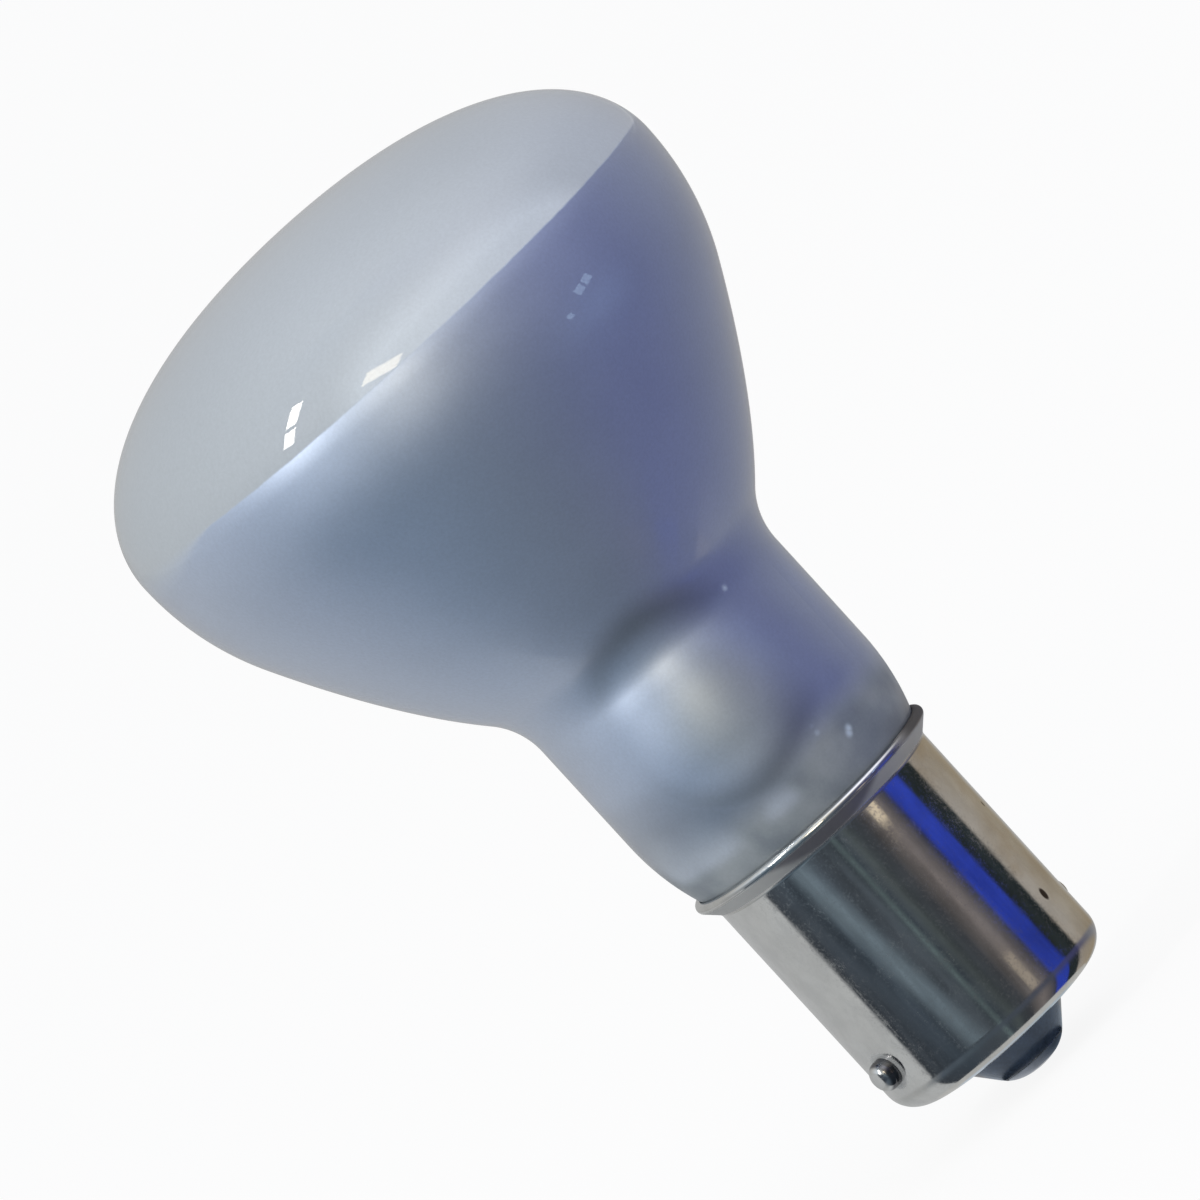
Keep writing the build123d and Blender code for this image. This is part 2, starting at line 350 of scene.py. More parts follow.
def shell_profile(shape):
    """Closed section of the cap's sheet: floor, corner, wall, flare, rolled rim and the way back inside.

    The flare is a run at 45 degrees that touches the bend below it and the bead above it.
    """
    outer = shape.shell_diameter / 2
    bore = outer - shape.shell_wall
    corner = shape.shell_corner
    hole = shape.shell_opening / 2
    low = SHELL_LOW.z
    floor = low + shape.shell_wall
    bead = shape.rim_bead
    bead_centre = (SHELL_HIGH.x - bead, SHELL_HIGH.z - bead)
    bend = shape.flare_bend
    flare_rise = bead_centre[0] - (outer + bend) + math.sqrt(2) * (bead + bend)
    bend_centre = (outer + bend, bead_centre[1] - flare_rise)
    half = math.sqrt(0.5)
    run_start = (bend_centre[0] - bend * half, bend_centre[1] + bend * half)
    run_end = (bead_centre[0] + bead * half, bead_centre[1] - bead * half)
    seat = shape.seat_diameter / 2 + shape.lip_clearance
    # The lip follows the glass from the bead to its seat, and the seat runs down to the inner bend
    lip_rise, seat_run, edge = 0.771 * MM, 0.404 * MM, 0.1 * MM
    bead_end, inner_bend_start = 109.5, 150.7
    lip_start = (bead_centre[0] - 0.115 * MM, bead_centre[1] + 0.318 * MM)
    seat_height = bend_centre[1] + lip_rise
    return joined(
        arc((hole + edge, low + edge), edge, 180, 270, 6),
        run((hole + edge, low), (outer - corner, low), 8),
        arc((outer - corner, low + corner), corner, -90, 0, 24),
        run((outer, low + corner), (outer, bend_centre[1]), 28),
        arc(bend_centre, bend, 180, 135, 8),
        run(run_start, run_end, 8),
        arc(bead_centre, bead, -45, bead_end, 26),
        run(lip_start, (seat, seat_height), 6),
        run((seat, seat_height), (seat - seat_run, seat_height - seat_run), 4),
        arc(bend_centre, bend + shape.shell_wall, inner_bend_start, 180, 5),
        run((bore, bend_centre[1]), (bore, low + corner), 10),
        arc((outer - corner, low + corner), corner - shape.shell_wall, 0, -90, 10),
        run((outer - corner, floor), (hole + edge, floor), 5),
        arc((hole + edge, floor - edge), edge, 90, 180, 6),
    )


def contact_profile(shape):
    """Section of the contact: solder dome, eyelet and its flange."""
    brim, rise = shape.contact_diameter / 2, shape.contact_rise
    eyelet, flange, bore = shape.eyelet_diameter / 2, shape.eyelet_flange / 2, shape.lead_diameter / 2
    top, plug_top, depth = CONTACT_HIGH.z, INSULATOR_HIGH.z, shape.solder_depth
    side = (brim - shape.contact_taper, rise - shape.contact_side)
    return joined(
        bezier([(0, 0), (shape.contact_crown, 0), side, (brim, rise)], 28),
        run((brim, rise), (eyelet, rise), 7),
        run((eyelet, rise), (eyelet, plug_top), 4),
        run((eyelet, plug_top), (flange, plug_top), 3),
        run((flange, plug_top), (flange, top), 3),
        run((flange, top), (bore, top), 3),
        run((bore, top), (bore, depth), 3),
        run((bore, depth), (0, depth), 3),
    )


def insulator_profile(shape):
    """Closed section of the insulator: cone below the cap and plug inside it."""
    hole = shape.shell_opening / 2
    floor = SHELL_LOW.z + shape.shell_wall
    tip, eyelet = shape.insulator_tip / 2, shape.eyelet_diameter / 2
    plug = (INSULATOR_HIGH.x - INSULATOR_LOW.x) / 2
    low, high = INSULATOR_LOW.z, INSULATOR_HIGH.z
    corners = [
        (eyelet, low),
        (tip, low),
        (hole, SHELL_LOW.z),
        (hole, floor),
        (plug, floor),
        (plug, high),
        (eyelet, high),
    ]
    cuts = np.array([0.05, 0.06, 0.1, 0.05, 0.05, 0.2, 0.05]) * MM
    return eased(corners, cuts)


# Meshes


def grid_faces(rings, columns, closed):
    """Quads between neighbouring rings; columns always wrap, and rings wrap where closed."""
    i = np.arange(rings if closed else rings - 1)[:, None]
    j = np.arange(columns)[None, :]
    up, side = (i + 1) % rings, (j + 1) % columns
    return np.stack(
        [i * columns + j, i * columns + side, up * columns + side, up * columns + j], axis=-1
    ).reshape(-1, 4)


def turned(profile, columns):
    """Solid of revolution: every (radius, height) of the profile goes round Z in equal steps.

    A profile that starts and ends on the axis gets one point for each pole, and any other is a
    closed ring.
    """
    poles = profile[0, 0] < 1e-9 and profile[-1, 0] < 1e-9
    body = profile[1:-1] if poles else profile
    angle = np.linspace(0, 2 * np.pi, columns, endpoint=False)
    radius, height = body[:, :1], body[:, 1:]
    level = np.broadcast_to(height, (len(body), columns))
    points = np.stack([radius * np.cos(angle), radius * np.sin(angle), level], axis=-1).reshape(-1, 3)
    faces = grid_faces(len(body), columns, not poles).tolist()
    if poles:
        j = np.arange(columns)
        side = (j + 1) % columns
        last = (len(body) - 1) * columns
        first_pole, last_pole = len(points), len(points) + 1
        points = np.concatenate([points, [(0, 0, profile[0, 1]), (0, 0, profile[-1, 1])]])
        faces += np.stack([np.full(columns, first_pole), side, j], axis=1).tolist()
        faces += np.stack([np.full(columns, last_pole), last + j, last + side], axis=1).tolist()
    return points, faces


def make_piece(name, points, faces, material, nodes):
    """Puts a surface into the scene as a smooth piece that stands for CAD nodes."""
    mesh = bpy.data.meshes.new(name)
    mesh.from_pydata(points, [], faces)
    mesh.polygons.foreach_set("use_smooth", np.ones(len(mesh.polygons), bool))
    mesh.update()
    if mesh.validate():
        raise RuntimeError(f"{name} has faces that Blender had to repair")
    piece = bpy.data.objects.new(name, mesh)
    bpy.context.scene.collection.objects.link(piece)
    mesh.materials.append(material)
    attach(piece, "root")
    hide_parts(*nodes)
    return piece


# Shader nodes


def fill(tree, node, inputs):
    """Sets a node's inputs; a socket is linked, and anything else is a value."""
    for key, value in inputs.items():
        if isinstance(value, bpy.types.NodeSocket):
            tree.links.new(value, node.inputs[key])
        else:
            node.inputs[key].default_value = value
    return node


def add(tree, kind, inputs=None, **settings):
    """Adds a shader node with its settings and inputs."""
    node = tree.nodes.new("ShaderNode" + kind)
    for key, value in settings.items():
        setattr(node, key, value)
    return fill(tree, node, inputs or {})


def calc(tree, operation, *values, clamp=False):
    """Math node."""
    return add(tree, "Math", dict(enumerate(values)), operation=operation, use_clamp=clamp).outputs[0]


def product(tree, first, *others):
    """Product of values."""
    for other in others:
        first = calc(tree, "MULTIPLY", first, other)
    return first


def along(tree, vector, direction):
    """Dot product of a vector with a fixed direction."""
    return add(tree, "VectorMath", {0: vector, 1: direction}, operation="DOT_PRODUCT").outputs["Value"]


def away(tree, vector, place):
    """Distance of a vector from a fixed place."""
    return add(tree, "VectorMath", {0: vector, 1: place}, operation="DISTANCE").outputs["Value"]


def step(tree, value, low, high, to_low=0.0, to_high=1.0):
    """Smooth step from low to high."""
    inputs = {"Value": value, 1: low, 2: high, 3: to_low, 4: to_high}
    return add(tree, "MapRange", inputs, interpolation_type="SMOOTHSTEP").outputs[0]


def spot(tree, vector, place, reach, core, most=1.0):
    """Round mask at a place in millimetres: most inside the core, and 0 beyond the reach."""
    distance = away(tree, vector, [part * MM for part in place])
    return step(tree, distance, reach * MM, core * MM, 0.0, most)


def noise(tree, vector, scale, detail=2.0, roughness=0.5):
    """Noise between 0 and 1."""
    inputs = {"Vector": vector, "Scale": scale, "Detail": detail, "Roughness": roughness}
    return add(tree, "TexNoise", inputs).outputs["Fac"]


def mapped(tree, vector, scale=(1, 1, 1), rotation=(0, 0, 0), location=(0, 0, 0)):
    """Coordinates scaled, turned and moved."""
    inputs = {"Vector": vector, "Scale": scale, "Rotation": rotation, "Location": location}
    return add(tree, "Mapping", inputs).outputs[0]


def tint(tree, factor, first, second, blend="MIX"):
    """Colour from first to second by the factor; each is a socket or red, green and blue."""
    node = add(tree, "Mix", {0: factor}, data_type="RGBA", blend_type=blend)
    for index, shade in ((6, first), (7, second)):
        linked = isinstance(shade, bpy.types.NodeSocket)
        fill(tree, node, {index: shade if linked else (*shade, 1.0)})
    return node.outputs[2]


def new_group(name, takes, gives):
    """Empty node group with named inputs and outputs, and the two nodes that hold them."""
    group = bpy.data.node_groups.new(name, "ShaderNodeTree")
    for label, kind, default in takes:
        socket = group.interface.new_socket(name=label, in_out="INPUT", socket_type="NodeSocket" + kind)
        if default is not None:
            socket.default_value = default
    for label, kind in gives:
        group.interface.new_socket(name=label, in_out="OUTPUT", socket_type="NodeSocket" + kind)
    return group, group.nodes.new("NodeGroupInput"), group.nodes.new("NodeGroupOutput")


def place_group(tree, group, inputs):
    """A group node with its own values."""
    node = tree.nodes.new("ShaderNodeGroup")
    node.node_tree = group
    return fill(tree, node, inputs)


def hairlines_group():
    """Fine scratches: three stretched noises, each turned its own way and cut to its crests."""
    name = "hairlines"
    if name in bpy.data.node_groups:
        return bpy.data.node_groups[name]
    group, takes, gives = new_group(
        name,
        [("Coordinates", "Vector", None), ("Fineness", "Float", 1000.0), ("Amount", "Float", 0.5)],
        [("Mask", "Float")],
    )
    total = 0.0
    for turned_by, stretch in (((0.5, 0.3, 0.9), 0.02), ((1.2, 0.8, 0.2), 0.03), ((0.2, 1.4, 2.1), 0.025)):
        spread = mapped(group, takes.outputs["Coordinates"], (1, 1, stretch), turned_by)
        crest = step(group, noise(group, spread, takes.outputs["Fineness"], 1.0), 0.66, 0.74)
        total = calc(group, "MAXIMUM", crest, total)
    sparse = step(group, noise(group, takes.outputs["Coordinates"], 300.0, 2.0), 0.42, 0.62)
    cut = calc(group, "MULTIPLY", total, sparse)
    group.links.new(calc(group, "MULTIPLY", cut, takes.outputs["Amount"]), gives.inputs["Mask"])
    return group


def mottle_group():
    """Cloudy patches with a fine grain on top, both between 0 and 1."""
    name = "mottle"
    if name in bpy.data.node_groups:
        return bpy.data.node_groups[name]
    group, takes, gives = new_group(
        name,
        [("Coordinates", "Vector", None), ("Patch scale", "Float", 150.0), ("Grain scale", "Float", 4000.0)],
        [("Patches", "Float"), ("Grain", "Float")],
    )
    patches = noise(group, takes.outputs["Coordinates"], takes.outputs["Patch scale"], 4.0, 0.55)
    grain = noise(group, takes.outputs["Coordinates"], takes.outputs["Grain scale"], 2.0, 0.6)
    group.links.new(step(group, patches, 0.3, 0.7), gives.inputs["Patches"])
    group.links.new(grain, gives.inputs["Grain"])
    return group


def mottled(tree, place, patch_scale, grain_scale):
    """Outputs of the mottle group with its own scales."""
    inputs = {"Coordinates": place, "Patch scale": patch_scale, "Grain scale": grain_scale}
    return place_group(tree, mottle_group(), inputs).outputs


def scratched(tree, place, fineness, amount):
    """Mask of the hairlines group with its own values."""
    inputs = {"Coordinates": place, "Fineness": fineness, "Amount": amount}
    return place_group(tree, hairlines_group(), inputs).outputs["Mask"]


def new_material(name):
    """Material with its tree, its Principled shader and Object coordinates."""
    material = bpy.data.materials.new(name)
    material.use_nodes = True
    tree = material.node_tree
    shader = next(node for node in tree.nodes if node.type == "BSDF_PRINCIPLED")
    return material, tree, shader, add(tree, "TexCoord").outputs["Object"]


def bump(tree, shader, height, strength, distance):
    """Height to the shader's Normal."""
    node = add(tree, "Bump", {"Height": height, "Strength": strength, "Distance": distance})
    tree.links.new(node.outputs[0], shader.inputs["Normal"])


def film_with_painted_oval_shade(tree, place, height, silver):
    """Film on the neck: an oval where the highlight falls, painted warmer in its lower half, in a ring of
    film painted darker as painted shade.

    The painted shade is strongest over and under the oval, fades on its two sides and lies only on the front.
    """
    beside = along(tree, place, OVAL_SIDE)
    level = calc(tree, "SUBTRACT", height, 29.2 * MM)
    spread = add(tree, "CombineXYZ", {0: beside, 1: level}).outputs[0]
    # Painted shade: the film is painted darker round the oval, most over and under it
    outside = step(tree, away(tree, spread, (0.55 * MM, 0, 0)), 3.7 * MM, 6.2 * MM, 0.0, 0.34)
    ring = spot(tree, spread, (1.6, -0.2, 0), 7.8, 5.4)
    below = step(tree, height, 29.0 * MM, 26.6 * MM, 0.0, 0.65)
    flank = product(tree, step(tree, beside, -1.6 * MM, -5.0 * MM), step(tree, height, 26.0 * MM, 28.5 * MM))
    flank = calc(tree, "MAXIMUM", flank, step(tree, beside, 4.0 * MM, 7.6 * MM, 0.0, 0.8))
    painted_shade = product(
        tree,
        outside,
        calc(tree, "MAXIMUM", below, ring),
        step(tree, height, 26.4 * MM, 24.4 * MM, 1.0, 1.5),
        step(tree, height, 30.0 * MM, 32.4 * MM, 1.0, 1.35),
        step(tree, along(tree, place, OVAL_FRONT), -2 * MM, 3 * MM),
        calc(tree, "SUBTRACT", 1.0, flank),
    )
    # Colour of the painted shade, bluish on one side
    dull = tint(tree, step(tree, beside, 1.5 * MM, 5.5 * MM), (0.06, 0.05, 0.02), (0.09, 0.09, 0.19))
    silver = tint(tree, painted_shade, silver, dull)
    # Painted highlight: the lower half of the oval is tinted warmer
    warm = spot(tree, spread, (2.2, -1.6, 0), 4.8, 1.2)
    return tint(tree, warm, silver, (0.99, 0.955, 0.86), "MULTIPLY")


def cap_end_film(tree, place, height, silver):
    """Film by the cap: it thins to grey with paler clouds, has painted shade by the rim on one side, and pale
    marks that are painted glints.

    Gives its colour, the mask of the thin film and the mask of the painted glints.
    """
    raised = step(tree, along(tree, place, OVAL_SIDE), 0.5 * MM, 5.0 * MM, 0.0, 1.1 * MM)
    thin = step(tree, calc(tree, "SUBTRACT", height, raised), 23.8 * MM, 21.4 * MM)
    clouds = step(tree, noise(tree, place, 260.0), 0.35, 0.7)
    silver = tint(tree, thin, silver, tint(tree, clouds, (0.27, 0.31, 0.35), (0.42, 0.46, 0.49)))
    over_rim = step(tree, height, 20.8 * MM, 21.9 * MM)
    for *centre, reach in PALE_CLOUDS:
        cloud = product(tree, spot(tree, place, centre, reach, 0.3 * reach, 0.7), over_rim)
        silver = tint(tree, cloud, silver, (0.60, 0.67, 0.77))
    # Painted shade: over the rim on one side the film is painted dark
    painted_rim_shade = step(tree, along(tree, place, PAINTED_SIDE), 4.6 * MM, 7.0 * MM, 0.0, 0.4)
    painted_rim_shade = product(tree, painted_rim_shade, step(tree, height, 21.6 * MM, 20.2 * MM))
    silver = tint(tree, painted_rim_shade, silver, (0.16, 0.17, 0.18))
    # Pale marks that are painted glints, reflections of a window painted on the film
    painted_glints = 0.0
    for *centre, reach in PAINTED_GLINTS:
        painted_glints = calc(tree, "MAXIMUM", painted_glints, spot(tree, place, centre, reach, 0.0, 0.48))
    return tint(tree, painted_glints, silver, (0.60, 0.74, 0.95)), thin, painted_glints


def frost_with_painted_light(tree, place, height, finish):
    """Frost of the face, with painted light above the film's edge at the front and from side to side."""
    # Painted light: the frost is painted brighter just over the film's edge at the front
    low = step(tree, height, finish.film_edge + 3.4 * MM, finish.film_edge)
    front = step(tree, along(tree, place, (-0.233, -0.972, 0.0)), 15.8 * MM, 18.4 * MM, 0.05, 1.6)
    bright = [min(1.0, 1.3 * part) for part in finish.frost]
    frost = tint(tree, product(tree, low, front), finish.frost, bright)
    # Painted light: the frost is painted darker on one side and brighter on the other
    across = along(tree, place, PAINTED_SIDE)
    uneven = step(tree, across, -13.0 * MM, 0.0, 0.91, 1.0)
    uneven = calc(tree, "ADD", uneven, step(tree, across, 9.0 * MM, 18.0 * MM, 0.0, 0.17))
    return tint(tree, 1.0, frost, uneven, "MULTIPLY")


def inner_wall(tree, place, height, finish):
    """Relief of the silvered inner wall, which rounds off more than the outer one.

    It falls over the upper neck and the waist, later towards the oval's front, and under the face.
    """
    doming, neck_radius, least = 0.6, 8.83 * MM, 3 * MM
    facing = calc(tree, "MAXIMUM", along(tree, place, OVAL_FRONT), least)
    domed = calc(tree, "ADD", height, calc(tree, "MULTIPLY_ADD", facing, -doming, doming * neck_radius))
    neck = step(tree, domed, 26.4 * MM, 36.4 * MM, 0.0, -finish.neck_bulge)
    waist = step(tree, domed, 31.0 * MM, 35.2 * MM, 0.0, -0.2 * MM)
    shoulder = step(tree, height, 48.6 * MM, 56.6 * MM, 0.0, -finish.shoulder_bulge)
    return calc(tree, "ADD", calc(tree, "ADD", neck, waist), shoulder)


def glass_material(finish):
    """Silvered glass up to the film's edge, frosted glass above it, under one glossy surface."""
    material, tree, shader, place = new_material("silvered_frosted_glass")
    mottle = mottled(tree, place, 90.0, 5200.0)
    # The film ends in a slightly ragged edge, and on one side it fades out below that
    height = along(tree, place, (-finish.film_edge_tilt, 0.0, 1.0))
    ragged = calc(tree, "MULTIPLY_ADD", noise(tree, place, 900.0), 0.10 * MM, height)
    fading = step(tree, along(tree, place, FADED_SIDE), 13.5 * MM, 18.5 * MM, 0.0, 2.2 * MM)
    film_start = calc(tree, "SUBTRACT", finish.film_edge, fading)
    face = step(tree, ragged, film_start, finish.film_edge + 0.16 * MM)
    silver = tint(tree, mottle["Patches"], [0.94 * part for part in finish.silver], finish.silver)
    silver = film_with_painted_oval_shade(tree, place, height, silver)
    silver, thin, painted_glints = cap_end_film(tree, place, height, silver)
    base = tint(tree, face, silver, frost_with_painted_light(tree, place, height, finish))
    grain = calc(tree, "MULTIPLY_ADD", mottle["Grain"], 0.5, 0.75)
    film = calc(tree, "MULTIPLY_ADD", thin, -0.4, 0.86)
    film = calc(tree, "SUBTRACT", film, painted_glints, clamp=True)
    satin = calc(tree, "MULTIPLY_ADD", mottle["Patches"], 0.05, finish.silver_roughness - 0.02)
    satin = calc(tree, "MULTIPLY_ADD", thin, 0.15, satin)
    fill(tree, shader, {
        "Base Color": tint(tree, 0.35, base, grain, "MULTIPLY"),
        "Metallic": product(tree, film, calc(tree, "SUBTRACT", 1.0, face)),
        "Roughness": calc(tree, "MULTIPLY_ADD", face, 0.2, satin),
        "Coat Weight": calc(tree, "MULTIPLY_ADD", thin, -0.6, 1.0),
        "Coat Roughness": 0.03,
        "Coat IOR": 1.5,
    })
    bump(tree, shader, inner_wall(tree, place, height, finish), 1.0, 1.0)
    return material


def nickel_material(finish, name):
    """Bright nickel plate with hairlines, smears and yellowed patches.

    Gives the material, its tree, shader and coordinates, and the sockets of its colour and roughness.
    """
    material, tree, shader, place = new_material(name)
    mottle = mottled(tree, place, 260.0, 6000.0)
    scratch = scratched(tree, place, 2600.0, 0.35)
    side = step(tree, along(tree, place, (0.66, -0.75, 0.0)), 4.6 * MM, 7.4 * MM)
    yellow = product(tree, mottle["Patches"], calc(tree, "MULTIPLY_ADD", side, 0.5, 0.06))
    base = tint(tree, yellow, finish.nickel, finish.tarnish)
    smears = noise(tree, mapped(tree, place, (1, 1, 0.7)), 700.0, 4.0, 0.65)
    smears = step(tree, smears, 0.35, 0.65, 0.0, 0.25)
    base = tint(tree, smears, base, [0.6 * part for part in finish.nickel])
    smudges = step(tree, noise(tree, place, 800.0, 3.0, 0.5), 0.40, 0.75, 0.0, 0.10)
    worn = calc(tree, "MULTIPLY_ADD", step(tree, mottle["Grain"], 0.45, 0.7), 0.12, smudges)
    worn = calc(tree, "ADD", worn, finish.nickel_roughness)
    worn = calc(tree, "MULTIPLY_ADD", scratch, 0.25, worn)
    drawn = noise(tree, mapped(tree, place, (1, 1, 0.03)), 900.0, 1.0, 0.5)
    relief = calc(tree, "MULTIPLY_ADD", drawn, 1.0, calc(tree, "MULTIPLY", scratch, -0.15))
    bump(tree, shader, relief, 0.5, 0.008 * MM)
    return material, tree, shader, place, base, worn


def cap_material(finish):
    """Nickel plate with two dark spots, dull under the flared rim and round the pins, and painted shade at
    the rim.
    """
    material, tree, shader, place, base, worn = nickel_material(finish, "nickel_plate")
    squash = 0.65
    stretched = mapped(tree, place, (1, 1, squash))
    for x, y, z, reach in DARK_SPECKS:
        speck = spot(tree, stretched, (x, y, squash * z), reach, 0.6 * reach)
        base = tint(tree, speck, base, (0.03, 0.02, 0.015))
    height = along(tree, place, UP)
    radius = add(tree, "VectorMath", {0: place, 1: (1, 1, 0)}, operation="MULTIPLY").outputs[0]
    radius = away(tree, radius, (0, 0, 0))
    flared = step(tree, radius, 7.61 * MM, 7.75 * MM)
    flared = product(tree, flared, step(tree, height, 19.45 * MM, 19.3 * MM))
    # The sheet is dull and grey in a ring round each pin
    crosswise = add(tree, "VectorMath", {0: place, 1: (0, 1, 1)}, operation="MULTIPLY").outputs[0]
    pin_collar = spot(tree, crosswise, (0, 0, 6.1), 1.4, 1.15)
    # Painted shade: at the front the dull band under the rim is painted darker
    painted_front_shade = step(tree, along(tree, place, (-0.48, -0.877, 0.0)), 7.2 * MM, 7.75 * MM)
    dull = tint(tree, painted_front_shade, (0.46, 0.47, 0.47), (0.19, 0.19, 0.21))
    base = tint(tree, calc(tree, "MAXIMUM", flared, pin_collar), base, dull)
    # Painted shade: one end of the rim is painted dark and matt
    painted_rim_shade = step(tree, along(tree, place, PAINTED_SIDE), 5.4 * MM, 7.2 * MM, 0.0, 0.95)
    painted_rim_shade = product(tree, painted_rim_shade, step(tree, height, 19.25 * MM, 19.5 * MM))
    metal = calc(tree, "MULTIPLY_ADD", pin_collar, -0.75, 1.0)
    metal = calc(tree, "MULTIPLY_ADD", flared, -0.4, metal)
    worn = calc(tree, "MAXIMUM", worn, calc(tree, "MULTIPLY", flared, 0.4))
    fill(tree, shader, {
        "Base Color": tint(tree, painted_rim_shade, base, (0.07, 0.065, 0.06)),
        "Metallic": calc(tree, "SUBTRACT", metal, painted_rim_shade, clamp=True),
        "Roughness": calc(tree, "MAXIMUM", worn, calc(tree, "MULTIPLY", painted_rim_shade, 0.9)),
    })
    return material


def pin_material(finish):
    """Nickel plate, bright on the end, with a painted dark reflection round the shank."""
    material, tree, shader, place, base, worn = nickel_material(finish, "nickel_pin")
    # Painted reflection: the shank is painted dark, as if it mirrored a dark room
    out = calc(tree, "ABSOLUTE", along(tree, place, (1, 0, 0)))
    dark = step(tree, out, 8.42 * MM, 8.22 * MM)
    base = tint(tree, dark, base, (0.16, 0.16, 0.17))
    fill(tree, shader, {"Base Color": base, "Metallic": 1.0, "Roughness": worn})
    return material


def insulator_material(finish):
    """Glossy black glass with a slightly uneven moulded skin."""
    material, tree, shader, place = new_material("black_glass")
    mottle = mottled(tree, place, 500.0, 5000.0)
    base = tint(tree, mottle["Patches"], finish.insulator, [1.8 * part for part in finish.insulator])
    worn = calc(tree, "MULTIPLY_ADD", mottle["Grain"], 0.15, 0.14)
    fill(tree, shader, {"Base Color": base, "Roughness": worn})
    bump(tree, shader, mottle["Patches"], 0.3, 0.05 * MM)
    return material


def solder_material(finish):
    """Dull grey solder with scuffs from the holder's contact."""
    material, tree, shader, place = new_material("solder")
    mottle = mottled(tree, place, 700.0, 5000.0)
    base = tint(tree, mottle["Patches"], finish.solder, [0.6 * part for part in finish.solder])
    worn = calc(tree, "MULTIPLY_ADD", mottle["Grain"], 0.2, 0.14)
    fill(tree, shader, {"Base Color": base, "Metallic": 1.0, "Roughness": worn})
    bump(tree, shader, scratched(tree, place, 1800.0, 1.0), 0.4, 0.02 * MM)
    return material


def cement_material(finish):
    """Tan basing cement, gritty and matt."""
    material, tree, shader, place = new_material("cement")
    mottle = mottled(tree, place, 900.0, 7000.0)
    base = tint(tree, mottle["Patches"], finish.cement, [0.75 * part for part in finish.cement])
    worn = calc(tree, "MULTIPLY_ADD", mottle["Grain"], 0.2, 0.75)
    fill(tree, shader, {"Base Color": base, "Roughness": worn})
    bump(tree, shader, mottle["Grain"], 0.5, 0.05 * MM)
    return material


def wire_material(finish):
    """Drawn lead wire."""
    material, tree, shader, place = new_material("lead_wire")
    scratch = scratched(tree, place, 3000.0, 1.0)
    base = tint(tree, scratch, finish.wire, [0.6 * part for part in finish.wire])
    worn = calc(tree, "MULTIPLY_ADD", scratch, 0.2, 0.3)
    fill(tree, shader, {"Base Color": base, "Metallic": 1.0, "Roughness": worn})
    return material


def stage_material(name):
    """Material of the stage with its tree, its output's surface and Object coordinates."""
    material, tree, shader, place = new_material(name)
    output = next(node for node in tree.nodes if node.type == "OUTPUT_MATERIAL")
    tree.nodes.remove(shader)
    return material, tree, output.inputs["Surface"], place


# Operators


class LAMP_OT_glass(bpy.types.Operator):
    """Makes the blown bulb with its silvered bowl and frosted face"""

    bl_idname = "lamp.glass"
    bl_label = "Glass bulb"

    def execute(self, context):
        shape = context.scene.lamp_shape
        points, faces = turned(glass_profile(shape), ROUND_COLUMNS)
        # The blown wall is uneven by two and three slow waves round the axis, which turn as they rise
        # and fade out at the cap and at the apex
        radius = np.hypot(points[:, 0], points[:, 1])
        angle = np.arctan2(points[:, 1], points[:, 0])
        height = points[:, 2] / shape.apex_height
        over_cap = np.clip((points[:, 2] - 22 * MM) / (8 * MM), 0, 1)
        fade = over_cap * np.clip(radius / (12 * MM), 0, 1) ** 2
        wave = np.sin(2 * angle + 1.1 + 5 * height) + 0.6 * np.sin(3 * angle - 0.7 + 9 * height)
        points[:, :2] *= (1 + shape.glass_wobble * wave * fade / np.maximum(radius, MM))[:, None]
        material = glass_material(context.scene.lamp_finish)
        make_piece("bulb_silvered", points, faces, material, ["glass_bulb"])
        return {"FINISHED"}


class LAMP_OT_shell(bpy.types.Operator):
    """Makes the drawn cap with its flared and rolled rim"""

    bl_idname = "lamp.shell"
    bl_label = "Cap shell"

    def execute(self, context):
        points, faces = turned(shell_profile(context.scene.lamp_shape), ROUND_COLUMNS)
        material = cap_material(context.scene.lamp_finish)
        make_piece("cap_shell", points, faces, material, ["base_shell"])
        return {"FINISHED"}


class LAMP_OT_pins(bpy.types.Operator):
    """Makes the two bayonet pins"""

    bl_idname = "lamp.pins"
    bl_label = "Bayonet pins"

    def execute(self, context):
        shape = context.scene.lamp_shape
        bore = shape.shell_diameter / 2 - shape.shell_wall
        shank, head, crown = shape.pin_diameter / 2, shape.pin_head / 2, shape.pin_crown
        start, end = PIN_LOW.x, PIN_HIGH.x
        profile = joined(
            run((0, start), (head, start), 4),
            run((head, start), (head, bore), 4),
            run((head, bore), (shank, bore), 4),
            run((shank, bore), (shank, end - crown), 10),
            arc((shank - crown, end - crown), crown, 0, 90, 12),
            run((shank - crown, end), (0, end), 6),
        )
        points, faces = turned(profile, 64)
        # Z of the turned pin becomes X of the lamp, and the head follows the bore of the cap
        around, across, out = points[:, 0], points[:, 1], points[:, 2]
        seated = (out > bore - 1e-7) & (out < bore + 1e-7) & (np.hypot(around, across) > shank + 1e-7)
        out = np.where(seated, np.sqrt(np.maximum(bore**2 - around**2, 0)), out)
        height = (PIN_LOW.z + PIN_HIGH.z) / 2
        material = pin_material(context.scene.lamp_finish)
        for name, way, node in (("pin_near", -1, "bayonet_pin_1"), ("pin_far", 1, "bayonet_pin_2")):
            placed = np.stack([way * out, way * around, across + height], axis=1)
            make_piece(name, placed, faces, material, [node])
        return {"FINISHED"}


